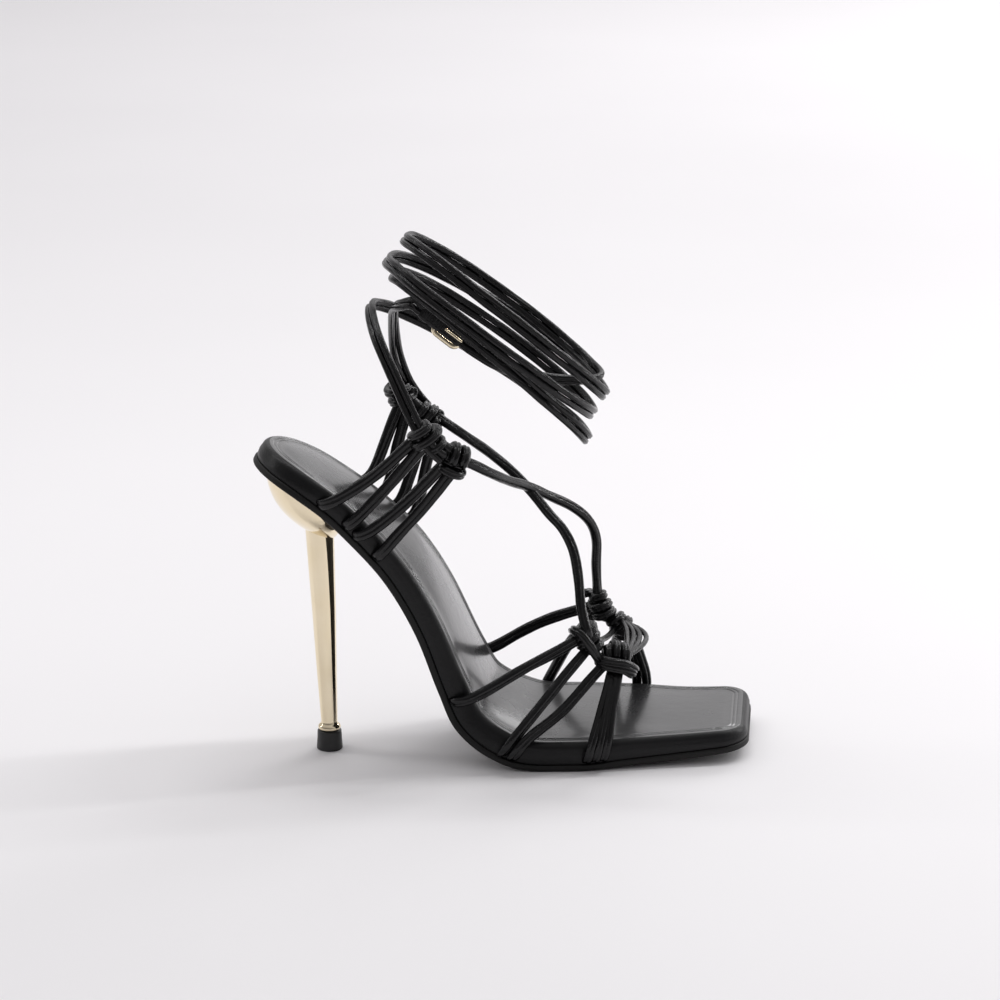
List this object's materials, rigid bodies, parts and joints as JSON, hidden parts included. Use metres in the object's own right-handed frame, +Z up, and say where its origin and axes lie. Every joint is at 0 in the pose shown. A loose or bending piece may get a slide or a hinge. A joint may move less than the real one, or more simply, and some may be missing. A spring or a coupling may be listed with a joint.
{
  "type": "lace-up stiletto sandal",
  "caption": "Open square-toed sandal on a slim high gold heel; knotted round cords cross the foot, rise from the heel seat and wind round the ankle to a small buckle.",
  "frame": {"origin": "on the floor under the ball of the foot, on the middle line of the sole's flat tread", "axes": "+X from heel to toe, +Y to the inner side of the foot, +Z up"},
  "size_m": [0.197, 0.0814, 0.2057],
  "materials": {
    "cord_leather": "smooth black with a soft sheen",
    "footbed_cover": "semi-gloss black",
    "sole_sheet": "matte black",
    "gold_plate": "mirror-polished pale gold plating",
    "tip_rubber": "satin black"
  },
  "bodies": {
    "root": {"outsole": "sole_sheet", "footbed": "footbed_cover", "heel": "gold_plate", "heel_tip": "tip_rubber", "vamp_straps": "cord_leather", "quarter_straps_outer": "cord_leather", "quarter_straps_inner": "cord_leather", "instep_cords": "cord_leather", "ankle_cord_1": "cord_leather", "ankle_cord_2": "cord_leather", "buckle_cord_1": "cord_leather", "buckle_cord_2": "cord_leather", "buckle_tab": "cord_leather", "buckle_frame": "gold_plate", "buckle_pin": "gold_plate"}
  },
  "joints": []
}
